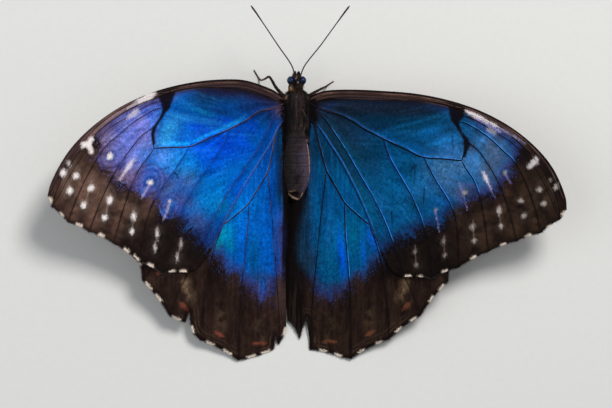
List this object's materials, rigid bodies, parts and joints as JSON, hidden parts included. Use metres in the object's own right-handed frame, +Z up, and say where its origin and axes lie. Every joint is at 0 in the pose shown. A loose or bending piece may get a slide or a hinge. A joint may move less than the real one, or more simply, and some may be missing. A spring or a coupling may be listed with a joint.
{
  "type": "blue morpho butterfly",
  "caption": "Life-size blue morpho butterfly standing with wings spread in a shallow V, hindwing corners resting on the floor, antennae raised forward.",
  "frame": {"origin": "on the floor under the middle of the outline", "axes": "+Z up; the head points towards -Y and the animal's right wing towards -X, so X runs across the wingspan"},
  "size_m": [0.1218, 0.082, 0.0187],
  "materials": {
    "wing_blue": "iridescent blue scales with a dark brown border, thin and dry",
    "body_brown": "short brown hair over a tough skin",
    "body_dark": "near-black hair over a tough skin",
    "eye": "dark glossy faceted dome with a blue-green glint",
    "feeler": "dark brown ringed skin",
    "leg": "brown scaled skin"
  },
  "bodies": {
    "root": {"head": "body_dark", "prothorax": "body_dark", "thorax": "body_brown", "abdomen": "body_brown", "eye_left": "eye", "eye_right": "eye", "palp_left": "body_dark", "palp_right": "body_dark", "proboscis": "feeler", "antenna_left": "feeler", "antenna_right": "feeler", "foreleg_left": "leg", "foreleg_right": "leg", "midleg_left": "leg", "midleg_right": "leg", "hindleg_left": "leg", "hindleg_right": "leg", "forewing_left": "wing_blue", "forewing_right": "wing_blue", "hindwing_left": "wing_blue", "hindwing_right": "wing_blue"}
  },
  "joints": []
}
